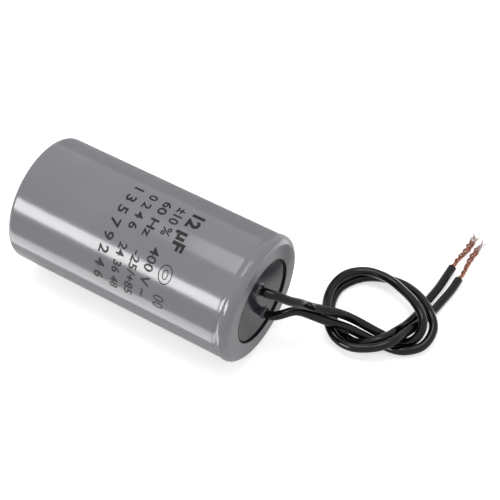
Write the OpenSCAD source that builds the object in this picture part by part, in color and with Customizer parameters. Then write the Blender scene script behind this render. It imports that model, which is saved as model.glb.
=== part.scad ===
// Small motor run capacitor: a sleeved aluminium can lying on its side, filled with
// resin, with two stranded leads tied together in a loose overhand knot.
// Millimetres. The can's axis is +X, its lead end is +X, and it lies on z = 0.

/* [Can and sleeve] */
// Outer diameter of the body over the sleeve
body_d = 36; // [32:0.5:40]
// Overall length of the body, sleeve included
body_l = 70; // [60:1:90]
// Thickness of the shrunk sleeve
sleeve_t = 0.25; // [0.2:0.05:0.4]
// Radius in to which the sleeve folds over the closed end
sleeve_fold_r = 13.5; // [11:0.5:15]
// Wall of the drawn can
can_wall = 0.6; // [0.4:0.1:0.8]
// Outer edge radius of the closed end
base_edge_r = 1.2; // [1.1:0.1:2]

/* [Rolled rim] */
// Radius of the roll that closes the lead end
rim_roll_r = 2.2; // [1.8:0.1:2.6]
// How far the roll stands proud of the barrel
rim_proud = 0.2; // [0.1:0.05:0.4]
// Depth of the neck behind the roll
neck_depth = 0.2; // [0.1:0.05:0.4]
// Length of the slope from barrel to neck
neck_slope_l = 0.8; // [0.5:0.1:1.5]
// Radius of the opening inside the sleeve's lip
opening_r = 12.1; // [10:0.1:13]

/* [Resin] */
// Depth of the resin below the rim
resin_recess = 0.5; // [0.3:0.1:0.8]
// Thickness of the resin plug
resin_plug_t = 6; // [4:0.5:8]
// How far the resin creeps out along each lead
creep_h = 0.7; // [0.3:0.1:1]
// Width of each creep ring's foot beside the lead
creep_w = 0.9; // [0.5:0.1:1.2]
// Width of each creep ring's top beside the lead
creep_top_w = 0.15; // [0.1:0.05:0.3]

/* [Winding] */
// Length of the wound film
film_l = 46; // [40:1:48]
// Thickness of each sprayed metal end
spray_t = 0.5; // [0.3:0.1:0.8]
// Outer diameter of the hollow core
core_d = 8; // [7:0.5:10]
// Wall of the hollow core
core_wall = 1; // [0.8:0.1:1.4]
// Thickness of the insulating liner
liner_t = 0.5; // [0.3:0.1:0.8]
// Thickness of the insulating disc on the base
base_disc_t = 0.8; // [0.5:0.1:1.5]
// Height of the solder on the far end, which rests on the insulating disc
solder_far_h = 2; // [1.5:0.1:3]
// Radius of the solder round a lead
solder_r = 2; // [1.5:0.1:2.2]
// Height of the solder on the near end
solder_near_h = 2.5; // [2:0.1:3]

/* [Leads] */
// Outer diameter of each insulated lead
lead_d = 2.5; // [2:0.1:2.5]
// Diameter of the bare twisted strands
strands_d = 1.2; // [0.9:0.1:1.4]
// Height of the short lead's exit above the can's axis
exit_a_up = 5.8; // [5.5:0.1:6.5]
// Depth of the long lead's exit below the can's axis
exit_b_down = 6.7; // [6:0.1:7]
// Straight stretch of each lead out of the resin
exit_l = 2.5; // [2.3:0.1:3]

/* [Hidden] */

FN = 72;              // facets round the body
SMALL_FN = 32;        // facets round solder, creep rings and lead holes
LEAD_SIDES = 8;       // facets round a lead
ARC_STEPS = 8;        // steps round the roll's outline
EDGE_STEPS = 5;       // steps round the closed end's edge
CREEP_STEPS = 4;      // steps up a creep ring's hollow side
BEND_STEPS = 6;       // steps in the long lead's bend
fit = 0.05;           // radial gap between pieces that fill one another
lead_fit = 0.08;      // radial gap of a lead in the resin
over = 1;             // how far a cut runs past the faces that it opens
neck_fillet = 8;      // degrees of the roll given up to the neck's hollow

axis_z = body_d / 2 + rim_proud;         // the roll rests on z = 0
barrel_r = body_d / 2;
front_x = body_l / 2;
back_x = -body_l / 2;
roll_r = barrel_r + rim_proud - rim_roll_r;   // radius to the roll's centre
roll_x = front_x - rim_roll_r;
neck_r = barrel_r - neck_depth;
neck_angle = -acos((neck_r - roll_r) / rim_roll_r);
neck_x = roll_x + rim_roll_r * sin(neck_angle);
resin_x = front_x - resin_recess;             // the resin's face
plug_x = resin_x - resin_plug_t;              // the resin's inner face
can_depth = sleeve_t + can_wall;              // the can's inside, below the outer face
disc_x = back_x + can_depth;                  // seat of the insulating disc
liner_x = disc_x + base_disc_t;
liner_r = barrel_r - can_depth - fit;
winding_x = liner_x + solder_far_h;
winding_r = liner_r - liner_t - fit;
near_x = winding_x + 2 * spray_t + film_l;    // outer face of the near sprayed end
lead_r = lead_d / 2;
strands_r = strands_d / 2;
hole_r = lead_r + lead_fit;                   // lead's hole through the resin

// Where the leads leave the resin, and the routes of their centrelines from there.
// x is measured from the resin's face.
EXIT_A = [0, -1, axis_z + exit_a_up];
EXIT_B = [0, 1.5, axis_z - exit_b_down];
LEAD_A = [
    EXIT_A, EXIT_A + [exit_l, 0, 0], [5.5, 0, 23.5], [7.5, 1.5, 21.5], [9.5, 4.5, 18.5],
    [10.5, 7.5, 14.5], [12.5, 10, 12], [16.5, 13.5, 9], [20, 16.5, 5], [24.5, 17.5, 3],
    [30, 18.5, 1.3], [34, 19, 1.5], [36.5, 21.5, 3.5], [36, 25, 6.5], [31, 29, 7],
    [26, 32, 5.5], [21, 33.5, 5.5], [15.5, 33.5, 5], [12, 32, 4.5], [9.5, 29, 4.5],
    [8.5, 24.5, 4], [9.5, 19.5, 4.5], [11.5, 15.5, 4.5], [14, 12, 4.5], [17.5, 9.5, 3.5],
    [22.5, 8.5, 4], [26.5, 10, 4.5], [30, 12, 5.5], [32.5, 15.5, 6], [33, 19.5, 4.5],
    [34.5, 25, 3.5], [35, 29.5, 2], [35.5, 33, 1.3], [36, 37.5, 1.3], [36.5, 42, 1.3],
    [36.5, 46.5, 1.3]];
LEAD_B = [
    EXIT_B, EXIT_B + [exit_l, 0, 0], [5, 3, 12.5], [7.5, 6, 12.5], [11.5, 8, 10.5],
    [15, 10.5, 7.5], [19, 13.5, 4.5], [24, 15, 2], [28, 15.5, 1.3], [33.5, 15.5, 2],
    [36.5, 17.5, 2], [39, 20.5, 2.5], [39, 26, 4], [36, 29, 5.5], [31.5, 33, 4.5],
    [26.5, 35.5, 3], [23, 36, 2.5], [18.5, 35.5, 2], [14, 33.5, 1.5], [11.5, 31, 1.3],
    [9.5, 26.5, 1.3], [10, 21.5, 1.5], [11.5, 18, 2], [14.5, 15, 1.5], [19, 12.5, 1.5],
    [23, 11.5, 2.5], [26, 12.5, 4], [29.5, 15.5, 5], [30.5, 20, 3.5], [31.5, 25, 1.5],
    [32.5, 31, 1.3], [32.5, 35.5, 1.3], [33, 40.5, 1.3], [33, 45, 1.3], [33, 49.5, 1.3]];
STRANDS_A = [[36.5, 46.5, 1.3], [36.5, 50, 1.3], [36, 54, 1.1], [36, 58, 1], [36, 62, 1]];
STRANDS_B = [[33, 49.5, 1.3], [33, 53, 1.3], [33.5, 57, 1.1], [33.5, 60.5, 1], [33, 64, 1]];

// ---- functions ----

// Points of an arc about [r, h], from one angle to another, 0 pointing outwards
function arc(r, h, radius, from, to, steps = ARC_STEPS) =
    [for (i = [0 : steps]) let (a = from + (to - from) * i / steps)
        [r + radius * cos(a), h + radius * sin(a)]];

// The body's outline from the closed end's edge to the rim, at a depth below the sleeve
function rim_outline(depth) = concat(
    [[barrel_r - depth, neck_x - neck_slope_l], [neck_r - depth, neck_x]],
    arc(roll_r, roll_x, rim_roll_r - depth, neck_angle + neck_fillet, 90));
function base_outline(depth) =
    arc(barrel_r - base_edge_r, back_x + base_edge_r, base_edge_r - depth, -90, 0, EDGE_STEPS);

function backwards(points) = [for (i = [len(points) - 1 : -1 : 0]) points[i]];
function unit(v) = v / norm(v);
function tangent(path, i) =
    let (last = len(path) - 1)
    unit(path[min(i + 1, last)] - path[max(i - 1, 0)]);

// Frames carried along a path without twist
function next_side(side, along) = unit(side - (side * along) * along);
function sides(path, i = 0, side = [0, 0, 1]) =
    i == len(path) ? [] :
    let (now = next_side(side, tangent(path, i)))
    concat([now], sides(path, i + 1, now));

// ---- modules ----

module tube_along(path, radius) {
    side = sides(path);
    last = len(path) - 1;
    points = [for (i = [0 : last], k = [0 : LEAD_SIDES - 1])
        let (a = (k + 0.5) * 360 / LEAD_SIDES, other = cross(tangent(path, i), side[i]))
        path[i] + radius * (cos(a) * side[i] + sin(a) * other)];
    walls = [for (i = [0 : last - 1], k = [0 : LEAD_SIDES - 1])
        let (n = (k + 1) % LEAD_SIDES, a = i * LEAD_SIDES, b = a + LEAD_SIDES)
        for (face = [[a + k, b + k, a + n], [a + n, b + k, b + n]]) face];
    start_cap = [for (k = [0 : LEAD_SIDES - 1]) k];
    end_cap = [for (k = [LEAD_SIDES - 1 : -1 : 0]) last * LEAD_SIDES + k];
    polyhedron(points, concat(walls, [start_cap, end_cap]));
}

// Turns an outline of [radius, x] points about the can's axis
module turned(outline) {
    translate([0, 0, axis_z]) rotate([0, 90, 0])
        rotate_extrude($fn = FN) polygon(outline);
}

// A disc or tube on the can's axis, from x by length
module ring(x, length, outer, inner = 0) {
    translate([x, 0, axis_z]) rotate([0, 90, 0])
        difference() {
            cylinder(h = length, r = outer, $fn = FN);
            if (inner > 0)
                translate([0, 0, -over]) cylinder(h = length + 2 * over, r = inner, $fn = FN);
        }
}

// A rod along X through a point, from x by length
module rod(at, x, length, radius) {
    translate([x, at[1], at[2]]) rotate([0, 90, 0])
        cylinder(h = length, r = radius, $fn = SMALL_FN);
}

module shrink_sleeve() {
    lip = [[opening_r, front_x - sleeve_t], [opening_r, front_x - can_depth]];
    lip_back = [[opening_r + sleeve_t, front_x - can_depth],
                [opening_r + sleeve_t, front_x - sleeve_t]];
    color([0.53, 0.53, 0.55])
        turned(concat([[sleeve_fold_r, back_x]], base_outline(0), rim_outline(0),
            [[opening_r + sleeve_t, front_x]], lip, lip_back,
            backwards(rim_outline(sleeve_t)), backwards(base_outline(sleeve_t)),
            [[sleeve_fold_r, back_x + sleeve_t]]));
}

module can() {
    lip_r = opening_r + sleeve_t;
    color([0.75, 0.76, 0.78])
        turned(concat([[0, back_x + sleeve_t]], base_outline(sleeve_t),
            rim_outline(sleeve_t), [[lip_r, front_x - sleeve_t], [lip_r, front_x - can_depth]],
            backwards(rim_outline(can_depth)), backwards(base_outline(can_depth)),
            [[0, disc_x]]));
}

module base_disc() {
    color([0.62, 0.5, 0.36])
        ring(disc_x, base_disc_t, barrel_r - base_edge_r);
}

module liner() {
    color([0.86, 0.84, 0.74])
        ring(liner_x, plug_x - liner_x, liner_r, liner_r - liner_t);
}

module winding_core() {
    color([0.9, 0.9, 0.86])
        ring(winding_x, film_l + 2 * spray_t, core_d / 2, core_d / 2 - core_wall);
}

module film_winding() {
    color([0.72, 0.74, 0.76])
        ring(winding_x + spray_t, film_l, winding_r, core_d / 2 + fit);
}

module end_spray_near() {
    color([0.6, 0.61, 0.62])
        ring(near_x - spray_t, spray_t, winding_r, core_d / 2 + fit);
}

module end_spray_far() {
    color([0.6, 0.61, 0.62])
        ring(winding_x, spray_t, winding_r, core_d / 2 + fit);
}

// Solder that holds the short lead on the near end
module solder_near() {
    color([0.78, 0.79, 0.8])
        rod(EXIT_A, near_x, solder_near_h, solder_r);
}

// Solder that spreads the long lead's end over the far end
module solder_far() {
    color([0.78, 0.79, 0.8])
        ring(liner_x, solder_far_h, core_d / 2 + solder_r);
}

// Resin plug that closes the can, creeping a little way out along each lead
module potting() {
    depth = can_depth + fit;
    face_r = opening_r - fit;
    color([0.3, 0.3, 0.32])
        difference() {
            union() {
                turned(concat([[0, plug_x], [barrel_r - depth, plug_x]], rim_outline(depth),
                    [[face_r, front_x - depth], [face_r, resin_x], [0, resin_x]]));
                for (exit = [EXIT_A, EXIT_B])
                    creep_ring(exit);
            }
            for (exit = [EXIT_A, EXIT_B])
                rod(exit, plug_x - over, resin_plug_t + creep_h + 2 * over, hole_r);
        }
}

// Resin that crept up a lead, hollow-sided, and rooted in the plug
module creep_ring(exit) {
    side = [for (i = [0 : CREEP_STEPS]) let (a = 90 * i / CREEP_STEPS)
        [hole_r + creep_top_w + (creep_w - creep_top_w) * (1 - sin(a)), creep_h * (1 - cos(a))]];
    translate([resin_x, exit[1], exit[2]]) rotate([0, 90, 0])
        rotate_extrude($fn = SMALL_FN)
            polygon(concat([[0, creep_h], [0, -over], [hole_r + creep_w, -over]], side));
}

// Short lead inside the can, from its solder to the resin's face
module lead_tail_a() {
    foot_x = near_x + solder_near_h;
    color([0.07, 0.07, 0.08])
        tube_along([[foot_x, EXIT_A[1], EXIT_A[2]], [resin_x, EXIT_A[1], EXIT_A[2]]], lead_r);
}

// Long lead inside the can, bent in to the core and through it to the far end
module lead_tail_b() {
    bend = [for (i = [0 : BEND_STEPS])
        let (t = i / BEND_STEPS, s = t * t * (3 - 2 * t))
        [plug_x + (near_x - plug_x) * t, EXIT_B[1] * (1 - s),
         EXIT_B[2] + (axis_z - EXIT_B[2]) * s]];
    color([0.07, 0.07, 0.08])
        tube_along(concat([[resin_x, EXIT_B[1], EXIT_B[2]]], bend, [[winding_x, 0, axis_z]]),
            lead_r);
}

module lead_a() {
    color([0.08, 0.08, 0.09])
        translate([resin_x, 0, 0]) tube_along(LEAD_A, lead_r);
}

module lead_b() {
    color([0.08, 0.08, 0.09])
        translate([resin_x, 0, 0]) tube_along(LEAD_B, lead_r);
}

module strands_a() {
    color([0.78, 0.48, 0.34])
        translate([resin_x, 0, 0]) tube_along(STRANDS_A, strands_r);
}

module strands_b() {
    color([0.78, 0.48, 0.34])
        translate([resin_x, 0, 0]) tube_along(STRANDS_B, strands_r);
}

shrink_sleeve();
can();
base_disc();
liner();
winding_core();
film_winding();
end_spray_near();
end_spray_far();
solder_near();
solder_far();
potting();
lead_tail_a();
lead_tail_b();
lead_a();
lead_b();
strands_a();
strands_b();
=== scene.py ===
"""Small motor run capacitor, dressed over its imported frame.

The body is a drawn aluminium can in a shrunk grey PVC sleeve, closed with dark resin.
Two stranded leads leave the resin and are tied in a loose overhand knot.
"""
import logging
import math
import random
from dataclasses import dataclass
from enum import Enum

import bmesh
import bpy
from mathutils import Matrix, Vector
from mathutils.geometry import interpolate_bezier


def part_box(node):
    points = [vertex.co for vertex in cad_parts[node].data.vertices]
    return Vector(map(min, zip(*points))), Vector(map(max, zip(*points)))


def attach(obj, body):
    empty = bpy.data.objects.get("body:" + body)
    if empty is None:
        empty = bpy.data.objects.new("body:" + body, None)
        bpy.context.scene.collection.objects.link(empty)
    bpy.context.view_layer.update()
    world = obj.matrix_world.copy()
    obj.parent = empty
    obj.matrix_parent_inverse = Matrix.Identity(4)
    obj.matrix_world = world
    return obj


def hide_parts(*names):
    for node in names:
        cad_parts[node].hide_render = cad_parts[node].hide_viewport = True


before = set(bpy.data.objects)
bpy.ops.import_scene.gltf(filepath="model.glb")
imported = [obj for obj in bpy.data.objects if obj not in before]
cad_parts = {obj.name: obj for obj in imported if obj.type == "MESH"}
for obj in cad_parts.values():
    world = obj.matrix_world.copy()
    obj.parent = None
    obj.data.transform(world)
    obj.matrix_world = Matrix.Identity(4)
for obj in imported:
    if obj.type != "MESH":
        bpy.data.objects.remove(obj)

LOG = logging.getLogger("capacitor")
MM = 0.001
Route = list[tuple[float, float, float]]


# ---- routes of the leads, as in the part's source; x runs from the resin's face ----

LEAD_A: Route = [
    (0, -1, 24), (2.5, -1, 24), (5.5, 0, 23.5), (7.5, 1.5, 21.5), (9.5, 4.5, 18.5),
    (10.5, 7.5, 14.5), (12.5, 10, 12), (16.5, 13.5, 9), (20, 16.5, 5), (24.5, 17.5, 3),
    (30, 18.5, 1.3), (34, 19, 1.5), (36.5, 21.5, 3.5), (36, 25, 6.5), (31, 29, 7),
    (26, 32, 5.5), (21, 33.5, 5.5), (15.5, 33.5, 5), (12, 32, 4.5), (9.5, 29, 4.5),
    (8.5, 24.5, 4), (9.5, 19.5, 4.5), (11.5, 15.5, 4.5), (14, 12, 4.5), (17.5, 9.5, 3.5),
    (22.5, 8.5, 4), (26.5, 10, 4.5), (30, 12, 5.5), (32.5, 15.5, 6), (33, 19.5, 4.5),
    (34.5, 25, 3.5), (35, 29.5, 2), (35.5, 33, 1.3), (36, 37.5, 1.3), (36.5, 42, 1.3),
    (36.5, 46.5, 1.3)]
LEAD_B: Route = [
    (0, 1.5, 11.5), (2.5, 1.5, 11.5), (5, 3, 12.5), (7.5, 6, 12.5), (11.5, 8, 10.5),
    (15, 10.5, 7.5), (19, 13.5, 4.5), (24, 15, 2), (28, 15.5, 1.3), (33.5, 15.5, 2),
    (36.5, 17.5, 2), (39, 20.5, 2.5), (39, 26, 4), (36, 29, 5.5), (31.5, 33, 4.5),
    (26.5, 35.5, 3), (23, 36, 2.5), (18.5, 35.5, 2), (14, 33.5, 1.5), (11.5, 31, 1.3),
    (9.5, 26.5, 1.3), (10, 21.5, 1.5), (11.5, 18, 2), (14.5, 15, 1.5), (19, 12.5, 1.5),
    (23, 11.5, 2.5), (26, 12.5, 4), (29.5, 15.5, 5), (30.5, 20, 3.5), (31.5, 25, 1.5),
    (32.5, 31, 1.3), (32.5, 35.5, 1.3), (33, 40.5, 1.3), (33, 45, 1.3), (33, 49.5, 1.3)]
STRANDS_A: Route = [
    (36.5, 46.5, 1.3), (36.5, 50, 1.3), (36, 54, 1.1), (36, 58, 1), (36.5, 63.5, 1)]
STRANDS_B: Route = [
    (33, 49.5, 1.3), (33, 53, 1.3), (33.5, 57, 1.1), (33.5, 60.5, 1), (33.5, 65.5, 1)]


# ---- small tools ----

def linear(hex_colour: str) -> tuple[float, float, float, float]:
    """Turns an sRGB hex colour into a linear colour.

    Args:
        hex_colour: Six hex digits, such as "8a8a8d".

    Returns:
        Linear red, green, blue and an alpha of 1.
    """
    channels = [int(hex_colour[i:i + 2], 16) / 255 for i in (0, 2, 4)]
    red, green, blue = [c / 12.92 if c <= 0.04045 else ((c + 0.055) / 1.055) ** 2.4
                        for c in channels]
    return red, green, blue, 1.0


def add_node(tree: bpy.types.NodeTree, kind: str, settings: dict[str, object] | None = None,
             inputs: dict[str | int, object] | None = None) -> bpy.types.Node:
    """Adds one node with its settings and its inputs.

    Args:
        tree: The node tree.
        kind: The node's type, such as "ShaderNodeTexNoise".
        settings: Properties of the node.
        inputs: Values or sockets by input name or number; a socket is linked.

    Returns:
        The new node.
    """
    node = tree.nodes.new(kind)
    for name, value in (settings or {}).items():
        setattr(node, name, value)
    for key, value in (inputs or {}).items():
        if isinstance(value, bpy.types.NodeSocket):
            tree.links.new(value, node.inputs[key])
        else:
            node.inputs[key].default_value = value
    return node


def per_metre(size_mm: float) -> float:
    """Gives the texture scale, in repeats a metre, of a detail of a size in millimetres."""
    return 1 / (size_mm * MM)


def place(piece: bpy.types.Object, slot: str, *nodes: str) -> bpy.types.Object:
    """Lets a finished piece ride on the part and stand for CAD nodes.

    Args:
        piece: The finished object.
        slot: The record's material slot; not used.
        nodes: Names of the CAD nodes that the piece replaces.

    Returns:
        The same piece.
    """
    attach(piece, "root")
    if nodes:
        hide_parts(*nodes)
    LOG.info("%s stands for %s", piece.name, ", ".join(nodes) or "nothing")
    return piece


def mesh_piece(name: str, bm: bmesh.types.BMesh, finish: bpy.types.Material,
               sharp_deg: float = 35) -> bpy.types.Object:
    """Turns a bmesh into a shaded object.

    Args:
        name: The piece's name.
        bm: The mesh, which is freed.
        finish: Its material.
        sharp_deg: Edges sharper than this stay sharp.

    Returns:
        The new object, linked to the scene.
    """
    mesh = bpy.data.meshes.new(name)
    for face in bm.faces:
        face.smooth = True
    for edge in bm.edges:
        edge.smooth = edge.calc_face_angle(0) < math.radians(sharp_deg)
    bm.to_mesh(mesh)
    bm.free()
    mesh.materials.append(finish)
    piece = bpy.data.objects.new(name, mesh)
    bpy.context.scene.collection.objects.link(piece)
    return piece


# ---- finishes ----

@dataclass(frozen=True)
class Finish:
    """Base of all finishes: a name, a flat colour that nodes may take over, and a roughness."""

    name: str
    colour: str
    roughness: float

    def start(self, **inputs: object) -> tuple[bpy.types.Material, bpy.types.NodeTree,
                                               bpy.types.Node, bpy.types.NodeSocket]:
        """Makes a material with its shader and coordinates.

        Args:
            inputs: Values for the shader's sockets, with _ for a space.

        Returns:
            The material, its tree, the shader and Object coordinates.
        """
        material = bpy.data.materials.new(self.name)
        material.use_nodes = True
        tree = material.node_tree
        tree.nodes.clear()
        shader = add_node(tree, "ShaderNodeBsdfPrincipled", None, {
            "Base Color": linear(self.colour), "Roughness": self.roughness})
        for key, value in inputs.items():
            shader.inputs[key.replace("_", " ")].default_value = value
        add_node(tree, "ShaderNodeOutputMaterial", None, {"Surface": shader.outputs["BSDF"]})
        where = add_node(tree, "ShaderNodeTexCoord").outputs["Object"]
        return material, tree, shader, where


@dataclass(frozen=True)
class ShrunkPvc(Finish):
    """Glossy PVC sleeve, shrunk by heat, with a slight orange peel and slow waves."""

    name: str = "shrunk_grey_pvc"
    colour: str = "7c7b80"
    roughness: float = 0.16
    dark: str = "78777c"
    pale: str = "807f84"
    wave_mm: float = 9.0
    peel_mm: float = 1.3

    def build(self) -> bpy.types.Material:
        """Builds the material: a broken highlight from waves and peel, and faint clouding."""
        material, tree, shader, where = self.start(IOR=1.5)
        waves = add_node(tree, "ShaderNodeTexNoise", {"noise_dimensions": "3D"}, {
            "Vector": where, "Scale": per_metre(self.wave_mm), "Detail": 1.0})
        peel = add_node(tree, "ShaderNodeTexNoise", None, {
            "Vector": where, "Scale": per_metre(self.peel_mm), "Detail": 2.0})
        cloud = add_node(tree, "ShaderNodeMix", {"data_type": "RGBA"}, {
            "Factor": waves.outputs["Fac"], 6: linear(self.dark), 7: linear(self.pale)})
        tree.links.new(cloud.outputs[2], shader.inputs["Base Color"])
        slow = add_node(tree, "ShaderNodeBump", None, {
            "Strength": 0.25, "Distance": 0.25 * MM, "Height": waves.outputs["Fac"]})
        fine = add_node(tree, "ShaderNodeBump", None, {
            "Strength": 0.12, "Distance": 0.03 * MM, "Height": peel.outputs["Fac"],
            "Normal": slow.outputs["Normal"]})
        tree.links.new(fine.outputs["Normal"], shader.inputs["Normal"])
        return material


@dataclass(frozen=True)
class CastResin(Finish):
    """Dark casting resin, poured and cured: smooth gloss, with soft sags and dull spots."""

    name: str = "cast_dark_resin"
    colour: str = "24242c"
    roughness: float = 0.13
    sag_mm: float = 8.0
    pit_mm: float = 1.6
    shine: float = 0.5

    def build(self) -> bpy.types.Material:
        """Builds the material: a smooth gloss that sags a little, with faint dull spots."""
        material, tree, shader, where = self.start(IOR=1.52, Specular_IOR_Level=self.shine)
        sag = add_node(tree, "ShaderNodeTexNoise", None, {
            "Vector": where, "Scale": per_metre(self.sag_mm), "Detail": 1.5})
        pits = add_node(tree, "ShaderNodeTexNoise", None, {
            "Vector": where, "Scale": per_metre(self.pit_mm), "Detail": 3.0})
        dull = add_node(tree, "ShaderNodeMapRange", None, {
            "Value": pits.outputs["Fac"], 1: 0.35, 2: 0.7,
            3: self.roughness, 4: self.roughness + 0.03})
        tree.links.new(dull.outputs["Result"], shader.inputs["Roughness"])
        bump = add_node(tree, "ShaderNodeBump", None, {
            "Strength": 0.06, "Distance": 0.15 * MM, "Height": sag.outputs["Fac"]})
        tree.links.new(bump.outputs["Normal"], shader.inputs["Normal"])
        return material


@dataclass(frozen=True)
class WireInsulation(Finish):
    """Black PVC drawn over the wire: a dark gloss with thin highlights and faint scuffs."""

    name: str = "black_wire_pvc"
    colour: str = "060608"
    roughness: float = 0.13
    scuff_mm: float = 1.8

    def build(self) -> bpy.types.Material:
        """Builds the material: a gloss that scuffs break up."""
        material, tree, shader, where = self.start(IOR=1.37)
        scuffs = add_node(tree, "ShaderNodeTexNoise", None, {
            "Vector": where, "Scale": per_metre(self.scuff_mm), "Detail": 4.0})
        gloss = add_node(tree, "ShaderNodeMapRange", None, {
            "Value": scuffs.outputs["Fac"], 1: 0.35, 2: 0.75,
            3: self.roughness - 0.02, 4: self.roughness + 0.05})
        tree.links.new(gloss.outputs["Result"], shader.inputs["Roughness"])
        bump = add_node(tree, "ShaderNodeBump", None, {
            "Strength": 0.04, "Distance": 0.05 * MM, "Height": scuffs.outputs["Fac"]})
        tree.links.new(bump.outputs["Normal"], shader.inputs["Normal"])
        return material


@dataclass(frozen=True)
class BareCopper(Finish):
    """Bare drawn copper strands, dull pink brown, turning pale grey towards the tips."""

    name: str = "bare_copper"
    colour: str = "c08a76"
    roughness: float = 0.38
    tarnished: str = "6a4034"
    clean: str = "b27c6a"
    tip: str = "b4b0ae"
    tarnish_mm: float = 2.5

    def build(self) -> bpy.types.Material:
        """Builds the material: tarnish in patches, and pale grey towards the tips."""
        material, tree, shader, where = self.start(Metallic=0.9)
        patches = add_node(tree, "ShaderNodeTexNoise", None, {
            "Vector": where, "Scale": per_metre(self.tarnish_mm), "Detail": 3.0})
        body = add_node(tree, "ShaderNodeMix", {"data_type": "RGBA"}, {
            "Factor": patches.outputs["Fac"], 6: linear(self.tarnished),
            7: linear(self.clean)})
        along = add_node(tree, "ShaderNodeAttribute", {"attribute_name": "along"})
        tips = add_node(tree, "ShaderNodeMapRange", None, {
            "Value": along.outputs["Fac"], 1: 0.68, 2: 0.88, 3: 0.0, 4: 1.0})
        mixed = add_node(tree, "ShaderNodeMix", {"data_type": "RGBA"}, {
            "Factor": tips.outputs["Result"], 6: body.outputs[2], 7: linear(self.tip)})
        tree.links.new(mixed.outputs[2], shader.inputs["Base Color"])
        return material


@dataclass(frozen=True)
class PrintInk(Finish):
    """Black pad-printing ink, matt and a little thin in places."""

    name: str = "black_print_ink"
    colour: str = "18181a"
    roughness: float = 0.5
    dense: str = "101012"
    thin: str = "222224"
    thin_mm: float = 0.9

    def build(self) -> bpy.types.Material:
        """Builds the material: a mottled black."""
        material, tree, shader, where = self.start(Specular_IOR_Level=0.25)
        mottle = add_node(tree, "ShaderNodeTexNoise", None, {
            "Vector": where, "Scale": per_metre(self.thin_mm), "Detail": 2.0})
        ink = add_node(tree, "ShaderNodeMix", {"data_type": "RGBA"}, {
            "Factor": mottle.outputs["Fac"], 6: linear(self.dense), 7: linear(self.thin)})
        tree.links.new(ink.outputs[2], shader.inputs["Base Color"])
        return material


class Grain(Enum):
    """How a plain inner finish is broken up."""

    SPUN = "rings about the can's axis"
    WOUND = "fine turns along the axis"
    FIBRES = "pressed fibres"
    SPRAYED = "sprayed grains"
    MOULDED = "moulded skin"


@dataclass(frozen=True)
class InnerFinish(Finish):
    """Finish of a piece inside the can, or of the bare can, by its grain."""

    grain: Grain = Grain.MOULDED
    grain_mm: float = 0.5
    metallic: float = 0.0

    def build(self) -> bpy.types.Material:
        """Builds the material: the grain in colour, gloss and relief."""
        material, tree, shader, where = self.start(Metallic=self.metallic)
        stretch = {Grain.SPUN: (1.0, 0.02, 0.02), Grain.WOUND: (0.02, 1.0, 1.0)}
        centred = add_node(tree, "ShaderNodeMapping", {"vector_type": "POINT"}, {
            "Vector": where, "Scale": stretch.get(self.grain, (1.0, 1.0, 1.0))})
        grain = add_node(tree, "ShaderNodeTexNoise", None, {
            "Vector": centred.outputs["Vector"], "Scale": per_metre(self.grain_mm),
            "Detail": 3.0})
        red, green, blue, _ = linear(self.colour)
        darker = (red * 0.8, green * 0.8, blue * 0.8, 1.0)
        tone = add_node(tree, "ShaderNodeMix", {"data_type": "RGBA"}, {
            "Factor": grain.outputs["Fac"], 6: darker, 7: linear(self.colour)})
        tree.links.new(tone.outputs[2], shader.inputs["Base Color"])
        bump = add_node(tree, "ShaderNodeBump", None, {
            "Strength": 0.3, "Distance": 0.05 * MM, "Height": grain.outputs["Fac"]})
        tree.links.new(bump.outputs["Normal"], shader.inputs["Normal"])
        return material


# ---- sub-assemblies; sizes are in millimetres and are scaled when a piece is placed ----

@dataclass(frozen=True)
class Can:
    """Sizes of the can that its pieces share, as in the part's source."""

    axis_z: float
    front_x: float
    back_x: float
    barrel_r: float = 18.0
    rim_r: float = 18.2
    roll_r: float = 2.2
    neck_r: float = 17.8
    neck_slope: float = 0.8
    edge_r: float = 1.2
    opening_r: float = 12.1
    fold_r: float = 13.5
    sleeve: float = 0.25
    lip_depth: float = 0.85
    resin_recess: float = 0.5

    @property
    def resin_x(self) -> float:
        """Place of the resin's face along the axis."""
        return self.front_x - self.resin_recess

    @property
    def placing(self) -> Matrix:
        """Takes a piece made about its own X axis, in millimetres, to the can's axis."""
        return Matrix.Scale(MM, 4) @ Matrix.Translation((0, 0, self.axis_z))

    @classmethod
    def from_frame(cls) -> "Can":
        """Reads the can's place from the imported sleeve."""
        low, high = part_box("shrink_sleeve")
        return cls(axis_z=(low[2] + high[2]) / 2 / MM, front_x=high[0] / MM, back_x=low[0] / MM)


def arc(centre: tuple[float, float], radius: float, start: float, end: float,
        steps: int) -> list[Vector]:
    """Draws an arc in the plane of the axis and the radius.

    Args:
        centre: Place along the axis and distance from it.
        radius: The arc's radius.
        start: First angle in degrees, 0 towards +X and 90 away from the axis.
        end: Last angle in degrees.
        steps: Number of segments.

    Returns:
        The arc's points, in the XZ plane.
    """
    angles = [math.radians(start + (end - start) * i / steps) for i in range(steps + 1)]
    return [Vector((centre[0] + radius * math.cos(a), 0, centre[1] + radius * math.sin(a)))
            for a in angles]


def straight(start: Vector, end: Vector, step: float) -> list[Vector]:
    """Divides a straight stretch, leaving out both of its ends.

    Args:
        start: First end.
        end: Last end.
        step: Longest step.

    Returns:
        The points between the ends.
    """
    count = max(1, math.ceil((end - start).length / step))
    return [start.lerp(end, i / count) for i in range(1, count)]


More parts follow.
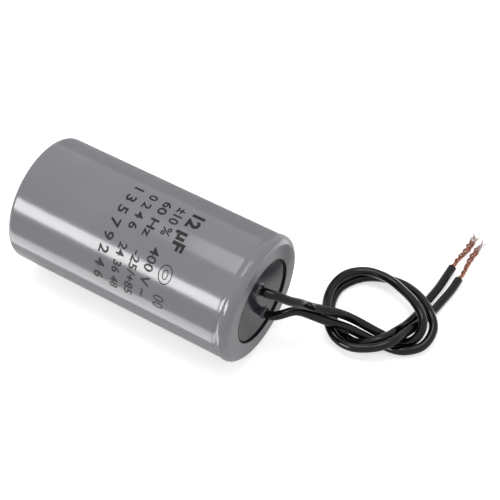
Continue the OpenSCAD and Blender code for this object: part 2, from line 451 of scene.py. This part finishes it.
def turned(outline: list[Vector], steps: int) -> bmesh.types.BMesh:
    """Turns a closed outline about the X axis.

    Args:
        outline: Points in the XZ plane, in order, none on the axis.
        steps: Number of steps in the full turn.

    Returns:
        The closed mesh, with its faces outwards.
    """
    bm = bmesh.new()
    verts = [bm.verts.new(point) for point in outline]
    edges = [bm.edges.new((verts[i - 1], verts[i])) for i in range(len(verts))]
    bmesh.ops.spin(bm, geom=verts + edges, cent=(0, 0, 0), axis=(1, 0, 0),
                   angle=math.tau, steps=steps, use_merge=True)
    bmesh.ops.remove_doubles(bm, verts=bm.verts, dist=1e-5)
    bmesh.ops.recalc_face_normals(bm, faces=bm.faces)
    return bm


@dataclass(frozen=True)
class Crease:
    """One short ridge where the shrunk sleeve gathered on the roll or on the end's face.

    Its place is measured along the section, from the roll's top towards the opening.
    """

    down: float
    angle: float
    half_angle: float
    height: float
    width: float = 0.16
    lean: float = 0.0

    def lift(self, down: float, angle: float) -> float:
        """Gives the ridge's height over one point of the sleeve.

        Args:
            down: Place along the section.
            angle: Degrees from the top of the can, positive towards -Y.

        Returns:
            How far the sleeve is lifted there.
        """
        along = (angle - self.angle) / self.half_angle
        across = (down - self.down - self.lean * along) / self.width
        return self.height * math.exp(-along ** 4 - across ** 2)


@dataclass
class Sleeve:
    """PVC sleeve shrunk over the whole can, from the base's fold to the lip in the opening."""

    can: Can
    turn_steps: int = 288
    barrel_step: float = 1.5
    shoulder_step: float = 0.4
    shoulder_x: float = 27.0
    roll_steps: int = 56
    creases: tuple[Crease, ...] = (
        Crease(-0.4, 22, 1.5, 0.05, 0.20), Crease(0.5, 12.5, 2, 0.06, 0.18),
        Crease(0.5, 23, 2, 0.05, 0.20), Crease(0.9, 10, 6, 0.05, 0.14, 0.10),
        Crease(1.35, 8, 9, 0.08, 0.15, 0.05), Crease(1.8, -1, 7, 0.06, 0.14, -0.10),
        Crease(2.2, 9, 6, 0.05, 0.16, 0.10), Crease(2.8, 8, 5, 0.06, 0.18, 0.05),
        Crease(5.3, 11, 6, 0.04, 0.18, -0.15), Crease(6.3, 9, 7, 0.04, 0.16, 0.15))

    def outline(self, depth: float, fine: bool) -> list[Vector]:
        """Draws the sleeve's section from the base's fold to the lip.

        Args:
            depth: How far under the outer face it lies.
            fine: True for the outer face, which is divided more finely.

        Returns:
            The outline's points.
        """
        can = self.can
        corner = (can.back_x + can.edge_r, can.barrel_r - can.edge_r)
        roll = (can.front_x - can.roll_r, can.rim_r - can.roll_r)
        neck_angle = 90 + math.degrees(math.acos((can.neck_r - roll[1]) / can.roll_r))
        edge = arc(corner, can.edge_r - depth, 180, 90, 8 if fine else 3)
        neck = roll[0] - can.roll_r * math.sin(math.radians(neck_angle - 90))
        slope = [Vector((neck - can.neck_slope, 0, can.barrel_r - depth)),
                 Vector((neck, 0, can.neck_r - depth))]
        rim = arc(roll, can.roll_r - depth, neck_angle - 8, 0, self.roll_steps if fine else 6)
        lip_r = can.opening_r + can.sleeve
        lip = arc((can.front_x - can.sleeve, lip_r), can.sleeve - depth, 0, -90,
                  5 if fine else 2)
        shoulder = Vector((self.shoulder_x, 0, can.barrel_r - depth))
        points = [Vector((can.back_x + depth, 0, can.fold_r))]
        points += straight(points[0], edge[0], 0.8) + edge if fine else edge
        if fine:
            points += straight(edge[-1], shoulder, self.barrel_step) + [shoulder]
            points += straight(shoulder, slope[0], self.shoulder_step)
        points += slope + rim
        if fine:
            points += straight(rim[-1], lip[0], 0.12)
        points += lip
        points.append(Vector((can.front_x - can.lip_depth, 0, can.opening_r + depth)))
        return points

    def crease_up(self, bm: bmesh.types.BMesh) -> None:
        """Lifts the outer face's points where the sleeve gathered.

        Args:
            bm: The turned sleeve, about its own axis.
        """
        can = self.can
        roll_x, centre_r = can.front_x - can.roll_r, can.rim_r - can.roll_r
        for vert in bm.verts:
            x, y, z = vert.co
            over, out = x - roll_x, math.hypot(y, z) - centre_r
            on_roll = out > 0 and math.hypot(over, out) > can.roll_r - can.sleeve / 2
            on_face = out <= 0 and x > can.front_x - can.sleeve / 2
            if z < 0 or over < -can.roll_r / 2 or not (on_roll or on_face):
                continue
            down = can.roll_r * math.atan2(over, out) if on_roll else (
                can.roll_r * math.pi / 2 - out)
            angle = math.degrees(math.atan2(-y, z))
            lift = sum(crease.lift(down, angle) for crease in self.creases)
            away = Vector((over, 0, out)) if on_roll else Vector((1, 0, 0))
            away.normalize()
            vert.co += lift * Vector((away.x, *(away.z * Vector((y, z)).normalized())))

    def build(self, finish: bpy.types.Material) -> bpy.types.Object:
        """Builds the sleeve as one closed thin shell.

        Args:
            finish: The sleeve's material.

        Returns:
            The placed sleeve.
        """
        inner = self.outline(self.can.sleeve, fine=False)
        bm = turned(self.outline(0, fine=True) + inner[::-1], self.turn_steps)
        self.crease_up(bm)
        bmesh.ops.transform(bm, matrix=self.can.placing, verts=bm.verts)
        return place(mesh_piece("sleeve_skin", bm, finish, 50), "sleeve", "shrink_sleeve")


@dataclass
class RecessShadeRing:
    """Near-black ring on the recess's wall above the poured face: painted shade for the recess's
    shadowed wall.
    """

    can: Can
    # Sizes of the ring of painted shade: film is its thickness, foot_film the extra at its foot.
    film: float = 0.12
    foot_film: float = 0.35
    stop: float = 0.04
    root: float = 0.1
    gap: float = 0.01
    turn_steps: int = 144

    def build(self, finish: bpy.types.Material) -> bpy.types.Object:
        """Builds the painted shade as a thin ring on the recess's wall, hollow towards the face.

        Args:
            finish: The near-black material of the painted shade.

        Returns:
            The placed ring.
        """
        can = self.can
        wall_r = can.opening_r - self.gap
        top = can.front_x - self.stop
        foot = can.resin_x
        hollow = [Vector((foot + (top - foot) * t * t, 0,
                          wall_r - self.film - self.foot_film * (1 - t) ** 2))
                  for t in (0, 0.25, 0.5, 0.75, 1)]
        outline = [Vector((foot - self.root, 0, wall_r)),
                   Vector((foot - self.root, 0, hollow[0].z))]
        outline += hollow + [Vector((top, 0, wall_r))]
        bm = turned(outline, self.turn_steps)
        bmesh.ops.transform(bm, matrix=can.placing, verts=bm.verts)
        return place(mesh_piece("recess_shade_ring", bm, finish), "resin")


def smooth_line(route: Route, start_x: float, steps: int = 8, rounds: int = 12) -> list[Vector]:
    """Draws one smooth line through a route's points.

    Args:
        route: The route's points, in millimetres.
        start_x: What is added to x, in millimetres.
        steps: Points drawn for each segment.
        rounds: Rounds of smoothing after that.

    Returns:
        The line's points, in metres.
    """
    knots = [(Vector(point) + Vector((start_x, 0, 0))) * MM for point in route]
    last = len(knots) - 1
    line = []
    for i in range(last):
        reach = (knots[i + 1] - knots[i]).length / 3
        leaving = (knots[i + 1] - knots[max(i - 1, 0)]).normalized() * reach
        arriving = (knots[min(i + 2, last)] - knots[i]).normalized() * reach
        line += interpolate_bezier(knots[i], knots[i] + leaving, knots[i + 1] - arriving,
                                   knots[i + 1], steps + 1)[:-1]
    line.append(knots[last])
    for _ in range(rounds):
        middle = [(line[i - 1] + 2 * line[i] + line[i + 1]) / 4 for i in range(1, len(line) - 1)]
        line = [line[0], *middle, line[-1]]
    return line


def drawn_tube(name: str, lines: list[list[Vector]], radius: float,
               finish: bpy.types.Material, roundness: int = 4) -> bpy.types.Object:
    """Makes a curve object of one or more capped round tubes.

    Args:
        name: The piece's name.
        lines: Centrelines, in metres.
        radius: The tubes' radius, in metres.
        finish: The material.
        roundness: Bevel resolution of the section.

    Returns:
        The new object, linked to the scene.
    """
    curve = bpy.data.curves.new(name, "CURVE")
    curve.dimensions = "3D"
    curve.bevel_depth = radius
    curve.bevel_resolution = roundness
    curve.use_fill_caps = True
    for line in lines:
        spline = curve.splines.new("POLY")
        spline.points.add(len(line) - 1)
        for point, place_at in zip(spline.points, line):
            point.co = (*place_at, 1)
        spline.use_smooth = True
    curve.materials.append(finish)
    piece = bpy.data.objects.new(name, curve)
    bpy.context.scene.collection.objects.link(piece)
    return piece


@dataclass
class Lead:
    """One insulated stranded lead, stripped and twisted at its end."""

    letter: str
    route: Route
    bare_route: Route
    exit_y: float
    exit_z: float
    length: float
    seed: int
    spread: float
    can: Can
    diameter: float = 2.5
    bundles: int = 3
    wires: int = 8
    wire_r: float = 0.12
    root_r: float = 0.5
    twists: float = 2.2
    bundle_share: float = 0.7
    wire_share: float = 0.42
    flattening: float = 0.8
    loose_from: float = 0.8

    def wire(self, bundle: int, wire: int, line: list[Vector],
             chance: random.Random) -> list[Vector]:
        """Draws one wire: round its bundle, the bundle round the rest, and loose at its tip.

        Args:
            bundle: Number of the bundle.
            wire: Number of the wire in the bundle.
            line: Centreline of the bare end.
            chance: The lead's own random numbers.

        Returns:
            The wire's centreline, in metres.
        """
        reach = chance.uniform(0.8, 1.0)
        stray = Vector((chance.uniform(-1, 1), 0, chance.uniform(-0.2, 0.8)))
        wander = chance.uniform(0, math.tau)
        count = int(len(line) * reach)
        points = []
        for i in range(count):
            t = i / (len(line) - 1)
            along = (line[min(i + 1, len(line) - 1)] - line[max(i - 1, 0)]).normalized()
            side = along.cross(Vector((0, 0, 1))).normalized()
            up = side.cross(along)
            swell = self.root_r + self.spread * t ** 1.4
            turn = math.tau * (self.twists * t + bundle / self.bundles)
            own = math.tau * (1.5 * self.twists * t + wire / self.wires) + wander * t
            own_r = swell * self.wire_share * (0.35 + 0.65 * (wire % 3) / 2)
            across = swell * self.bundle_share * math.cos(turn) + own_r * math.cos(own)
            rise = swell * self.bundle_share * math.sin(turn) + own_r * math.sin(own)
            loose = max(0, (t - self.loose_from) / (1 - self.loose_from)) ** 2
            point = line[i] + (
                side * across + up * rise * self.flattening + stray * loose) * MM
            point.z = max(point.z, self.wire_r * MM)
            points.append(point)
        return points

    def build_bare_end(self, finish: bpy.types.Material) -> bpy.types.Object:
        """Builds the twisted wires as one mesh, which knows how far along each point is.

        Args:
            finish: Bare copper.

        Returns:
            The placed wires.
        """
        line = smooth_line(self.bare_route, self.can.resin_x, steps=10, rounds=4)
        chance = random.Random(self.seed)
        lines = [self.wire(bundle, wire, line, chance)
                 for bundle in range(self.bundles) for wire in range(self.wires)]
        draft = drawn_tube("draft", lines, self.wire_r * MM, finish, roundness=1)
        mesh = bpy.data.meshes.new_from_object(draft)
        bpy.data.objects.remove(draft)
        piece = bpy.data.objects.new(f"bare_strands_{self.letter}", mesh)
        bpy.context.scene.collection.objects.link(piece)
        start, end = line[0].y, line[-1].y
        along = mesh.attributes.new("along", "FLOAT", "POINT")
        for value, vert in zip(along.data, mesh.vertices):
            value.value = (vert.co.y - start) / (end - start)
        return place(piece, "copper", f"strands_{self.letter}")

    def build(self, insulation: bpy.types.Material,
              copper: bpy.types.Material) -> bpy.types.Object:
        """Args:
            insulation: Finish of the insulation.
            copper: Finish of the bare wires.

        Returns:
            The placed lead.
        """
        line = smooth_line(self.route, self.can.resin_x)
        lead = drawn_tube(f"insulated_lead_{self.letter}", [line], self.diameter / 2 * MM,
                          insulation)
        place(lead, "insulation", f"lead_{self.letter}")
        self.build_bare_end(copper)
        return lead


@dataclass(frozen=True)
class PrintLine:
    """One group of plain figures or units: its base line's place, start, length and height."""

    words: str
    x: float
    start_angle: float
    length: float
    height: float
    weight: float = 0.06


@dataclass(frozen=True)
class PrintOval:
    """One plain oval ring: the place of its middle line, its start, halves and line."""

    x: float
    start_angle: float
    half_length: float
    half_height: float
    line: float


@dataclass
class Print:
    """Black print on the barrel: generic ratings, and plain shapes as marks."""

    can: Can
    sunk: float = 0.01
    proud: float = 0.03
    cut: float = 0.6
    cap_share: float = 0.7
    lines: tuple[PrintLine, ...] = (
        PrintLine("12 µF", 12.2, 79.5, 12.1, 3.4, 0.2),
        PrintLine("±10 %", 7.7, 79.5, 9.7, 2.6), PrintLine("400 V ~", 7.7, 122, 14.4, 2.6),
        PrintLine("60 Hz", 3.4, 80, 11.9, 2.4), PrintLine("-25/+85", 3.4, 131, 12.9, 2.4),
        PrintLine("0 2 4 6", -1.1, 79.5, 11.8, 2.4), PrintLine("24 36 48", -1.1, 130, 13.5, 2.4),
        PrintLine("1 3 5 7 9 2 4 6", -6.2, 79.5, 28.6, 2.8, 0.08))
    ovals: tuple[PrintOval, ...] = (
        PrintOval(14.0, 130.4, 2.7, 2.0, 0.25), PrintOval(14.0, 134.5, 1.4, 0.8, 0.22),
        PrintOval(13.9, 158.5, 0.9, 1.6, 0.35), PrintOval(13.9, 165.5, 0.9, 1.6, 0.35))
    ring_steps: int = 48

    def wrap(self, bm: bmesh.types.BMesh, x: float, start_angle: float) -> None:
        """Cuts flat print into strips and lays it round the barrel.

        Args:
            bm: Flat print, reading along X with its thickness along Z.
            x: Place of its base line along the can.
            start_angle: Degrees from +Y, over the top, at which it starts.
        """
        reach = max(vert.co.x for vert in bm.verts)
        for i in range(1, math.ceil(reach / self.cut)):
            bmesh.ops.bisect_plane(bm, geom=[*bm.verts, *bm.edges, *bm.faces],
                                   plane_co=(i * self.cut, 0, 0), plane_no=(1, 0, 0))
        for vert in bm.verts:
            along, up, out = vert.co
            angle = math.radians(start_angle) + along / self.can.barrel_r
            radius = self.can.barrel_r + out
            vert.co = (x + up, radius * math.cos(angle), radius * math.sin(angle))
        bmesh.ops.transform(bm, matrix=self.can.placing, verts=bm.verts)

    def set_line(self, line: PrintLine) -> bmesh.types.BMesh:
        """Sets one line of figures as flat, closed shapes.

        Args:
            line: The line.

        Returns:
            The flat print, in millimetres.
        """
        text = bpy.data.curves.new("line", "FONT")
        text.body = line.words
        text.size = line.height / self.cap_share
        text.extrude = (self.sunk + self.proud) / 2
        text.offset = line.weight
        text.resolution_u = 3
        draft = bpy.data.objects.new("line", text)
        bpy.context.scene.collection.objects.link(draft)
        bpy.context.view_layer.update()
        mesh = bpy.data.meshes.new_from_object(draft)
        bpy.data.objects.remove(draft)
        bm = bmesh.new()
        bm.from_mesh(mesh)
        bpy.data.meshes.remove(mesh)
        bmesh.ops.remove_doubles(bm, verts=bm.verts, dist=1e-5)
        left = min(vert.co.x for vert in bm.verts)
        reach = max(vert.co.x for vert in bm.verts) - left
        bmesh.ops.translate(bm, vec=(-left, 0, 0), verts=bm.verts)
        bmesh.ops.scale(bm, vec=(line.length / reach, 1, 1), verts=bm.verts)
        bmesh.ops.translate(bm, vec=(0, 0, (self.proud - self.sunk) / 2), verts=bm.verts)
        return bm

    def draw_oval(self, oval: PrintOval) -> bmesh.types.BMesh:
        """Draws a flat, closed oval ring.

        Args:
            oval: The ring.

        Returns:
            The flat ring, in millimetres.
        """
        bm = bmesh.new()
        rings = []
        for inset in (0, oval.line):
            for height in (self.proud, -self.sunk):
                rings.append([bm.verts.new((
                    oval.half_length + (oval.half_length - inset) * math.cos(a),
                    (oval.half_height - inset) * math.sin(a), height)) for a in (
                        math.tau * i / self.ring_steps for i in range(self.ring_steps))])
        around = (rings[0], rings[1], rings[3], rings[2])
        for one, other in zip(around, around[1:] + around[:1]):
            for i in range(self.ring_steps):
                j = (i + 1) % self.ring_steps
                bm.faces.new((one[i], one[j], other[j], other[i]))
        bmesh.ops.recalc_face_normals(bm, faces=bm.faces)
        return bm

    def build(self, finish: bpy.types.Material) -> None:
        """Builds each line and mark as a piece of its own.

        Args:
            finish: The ink.
        """
        for number, line in enumerate(self.lines, 1):
            bm = self.set_line(line)
            self.wrap(bm, line.x, line.start_angle)
            place(mesh_piece(f"print_line_{number}", bm, finish), "sleeve")
        for number, oval in enumerate(self.ovals, 1):
            bm = self.draw_oval(oval)
            self.wrap(bm, oval.x, oval.start_angle)
            place(mesh_piece(f"print_oval_{number}", bm, finish), "sleeve")


INNER_FINISHES: dict[str, InnerFinish] = {
    "can": InnerFinish("drawn_aluminium", "b9bbbf", 0.35, Grain.SPUN, 0.4, 1.0),
    "base_disc": InnerFinish("pressed_board", "9c7f5a", 0.8, Grain.FIBRES, 0.6),
    "liner": InnerFinish("insulating_film", "d9d5bd", 0.4, Grain.MOULDED, 3.0),
    "film_winding": InnerFinish("wound_film", "b8bcc2", 0.3, Grain.WOUND, 0.3),
    "winding_core": InnerFinish("moulded_core", "e0e0d8", 0.5, Grain.MOULDED, 1.0),
    "end_spray_near": InnerFinish("sprayed_zinc_near", "9a9c9f", 0.7, Grain.SPRAYED, 0.3, 1.0),
    "end_spray_far": InnerFinish("sprayed_zinc_far", "9a9c9f", 0.7, Grain.SPRAYED, 0.3, 1.0),
    "solder_near": InnerFinish("soft_solder_near", "c4c6c8", 0.35, Grain.MOULDED, 1.2, 1.0),
    "solder_far": InnerFinish("soft_solder_far", "c4c6c8", 0.35, Grain.MOULDED, 1.2, 1.0)}


def dress_node(node: str, finish: bpy.types.Material) -> None:
    """Gives a CAD node its finish."""
    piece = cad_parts[node]
    piece.data.materials.clear()
    piece.data.materials.append(finish)
    LOG.info("%s is dressed as %s", node, finish.name)


# ---- studio ----

@dataclass(frozen=True)
class Panel:
    """One flat lamp: its place, size and brightness, and whether only mirrors see it."""

    name: str
    centre: tuple[float, float, float]
    aim: tuple[float, float, float]
    width: float
    height: float
    radiance: float
    gloss_only: bool = False

    def build(self) -> None:
        """Adds the lamp, with its power worked out from its radiance."""
        lamp = bpy.data.lights.new(self.name, "AREA")
        lamp.shape = "RECTANGLE"
        lamp.size = self.width
        lamp.size_y = self.height
        lamp.energy = self.radiance * math.pi * self.width * self.height
        stand = bpy.data.objects.new(self.name, lamp)
        away = Vector(self.centre) - Vector(self.aim)
        turn = away.to_track_quat("Z", "Y").to_matrix().to_4x4()
        stand.matrix_world = Matrix.Translation(self.centre) @ turn
        stand.visible_camera = False
        stand.visible_diffuse = not self.gloss_only
        bpy.context.scene.collection.objects.link(stand)


@dataclass
class Studio:
    """Pale floor, one soft lamp, strips and a card for the mirrored look, and the camera."""

    floor_half: float = 3.0
    floor_colour: str = "f2f2f2"
    floor_glow: float = 0.55
    mirrored_glow: float = 0.1
    sky: float = 0.72
    lens_mm: float = 101.66
    aim: tuple[float, float, float] = (0.02293, 0.01315, 0.0182)
    back: tuple[float, float, float] = (0.3356, -0.5441, 0.7690)
    distance: float = 0.3804
    flag_colour: str = "c0c0c2"
    flag_low: tuple[float, float, float] = (-0.06, 0.05, 0.0)
    flag_high: tuple[float, float, float] = (0.022, 0.05, 0.05)
    panels: tuple[Panel, ...] = (
        Panel("front_strip", (-0.241, -0.516, 0.208), (0, 0, 0.018), 0.34, 0.19, 13.5, True),
        Panel("low_strip", (-0.0375, -0.036, 0.001), (-0.0375, -0.036, 1.0), 0.125, 0.018, 3.8,
              True),
        Panel("back_strip", (0.084, 0.071, 0.0005), (0.084, 0.071, 1.0), 0.072, 0.078, 1.5,
              True),
        Panel("top_softbox", (-0.059, 0.021, 0.6), (-0.059, 0.021, 0), 0.318, 0.306, 3.8))

    def build_camera(self) -> None:
        """Adds the camera, level and looking down at the lead end."""
        camera = bpy.data.cameras.new("camera")
        camera.lens = self.lens_mm
        camera.clip_start = 0.01
        stand = bpy.data.objects.new("camera", camera)
        back = Vector(self.back).normalized()
        turn = back.to_track_quat("Z", "Y").to_matrix().to_4x4()
        stand.matrix_world = Matrix.Translation(Vector(self.aim) + back * self.distance) @ turn
        bpy.context.scene.collection.objects.link(stand)
        bpy.context.scene.camera = stand

    def build_world(self) -> None:
        """Lights the scene evenly; cameras and mirrors see plain white."""
        world = bpy.data.worlds.new("studio")
        world.use_nodes = True
        tree = world.node_tree
        tree.nodes.clear()
        rays = add_node(tree, "ShaderNodeLightPath").outputs
        seen = add_node(tree, "ShaderNodeMath", {"operation": "MAXIMUM"}, {
            0: rays["Is Camera Ray"], 1: rays["Is Transmission Ray"]})
        seen = add_node(tree, "ShaderNodeMath", {"operation": "MAXIMUM"}, {
            0: seen.outputs[0], 1: rays["Is Glossy Ray"]})
        strength = add_node(tree, "ShaderNodeMapRange", None, {
            "Value": seen.outputs[0], 3: self.sky, 4: 1.0})
        sky = add_node(tree, "ShaderNodeBackground", None, {
            "Color": (1, 1, 1, 1), "Strength": strength.outputs["Result"]})
        add_node(tree, "ShaderNodeOutputWorld", None, {"Surface": sky.outputs["Background"]})
        bpy.context.scene.world = world

    def build_floor(self) -> None:
        """Lays the pale floor, which glows a little to camera and mirrors and keeps the shadow."""
        bm = bmesh.new()
        bmesh.ops.create_grid(bm, x_segments=1, y_segments=1, size=self.floor_half)
        material = bpy.data.materials.new("pale_paper")
        material.use_nodes = True
        tree = material.node_tree
        tree.nodes.clear()
        rays = add_node(tree, "ShaderNodeLightPath").outputs
        paper = add_node(tree, "ShaderNodeBsdfDiffuse", None, {
            "Color": linear(self.floor_colour)})
        mirrored = add_node(tree, "ShaderNodeMath", {"operation": "MULTIPLY"}, {
            0: rays["Is Glossy Ray"], 1: self.mirrored_glow})
        share = add_node(tree, "ShaderNodeMath", {"operation": "MULTIPLY_ADD"}, {
            0: rays["Is Camera Ray"], 1: self.floor_glow, 2: mirrored.outputs[0]})
        glow = add_node(tree, "ShaderNodeEmission", None, {"Strength": share.outputs[0]})
        both = add_node(tree, "ShaderNodeAddShader", None, {
            0: paper.outputs["BSDF"], 1: glow.outputs["Emission"]})
        add_node(tree, "ShaderNodeOutputMaterial", None, {"Surface": both.outputs["Shader"]})
        mesh_piece("floor", bm, material)

    def build_flag(self) -> None:
        """Stands a grey card behind the can, which only mirrors see."""
        bm = bmesh.new()
        bmesh.ops.create_grid(bm, x_segments=1, y_segments=1, size=0.5)
        low, high = self.flag_low, self.flag_high
        for vert in bm.verts:
            vert.co = (low[0] if vert.co.x < 0 else high[0], low[1],
                       low[2] if vert.co.y < 0 else high[2])
        material = bpy.data.materials.new("grey_card")
        material.use_nodes = True
        tree = material.node_tree
        tree.nodes.clear()
        card = add_node(tree, "ShaderNodeBsdfDiffuse", None, {
            "Color": linear(self.flag_colour)})
        add_node(tree, "ShaderNodeOutputMaterial", None, {"Surface": card.outputs["BSDF"]})
        flag = mesh_piece("flag", bm, material)
        flag.visible_camera = flag.visible_diffuse = False
        flag.visible_shadow = flag.visible_transmission = False

    def build(self) -> None:
        """Builds the world, the floor and the lamps."""
        self.build_world()
        self.build_floor()
        self.build_flag()
        for panel in self.panels:
            panel.build()
        bpy.context.scene.view_settings.view_transform = "Standard"


def main() -> None:
    """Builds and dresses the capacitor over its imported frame."""
    logging.basicConfig(level=logging.INFO, format="%(name)s: %(message)s")
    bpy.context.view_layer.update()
    can = Can.from_frame()
    studio = Studio()
    studio.build_camera()
    insulation = WireInsulation().build()
    copper = BareCopper().build()
    Lead("a", LEAD_A, STRANDS_A, -1, 24, 0.162, 4, 0.45, can).build(insulation, copper)
    Lead("b", LEAD_B, STRANDS_B, 1.5, 11.5, 0.157, 7, 0.75, can).build(insulation, copper)
    studio.build()
    Sleeve(can).build(ShrunkPvc().build())
    resin = CastResin().build()
    dress_node("potting", resin)
    # Near-black ring on the recess's wall: painted shade for the shadowed wall, in the resin's
    # finish.
    shade_ring_finish = CastResin(name="painted_recess_shade", colour="08080a", roughness=0.5, shine=0.1)
    RecessShadeRing(can).build(shade_ring_finish.build())
    Print(can).build(PrintInk().build())
    for node in ("lead_tail_a", "lead_tail_b"):
        dress_node(node, insulation)
    for node, finish in INNER_FINISHES.items():
        dress_node(node, finish.build())


if __name__ == "__main__":
    main()
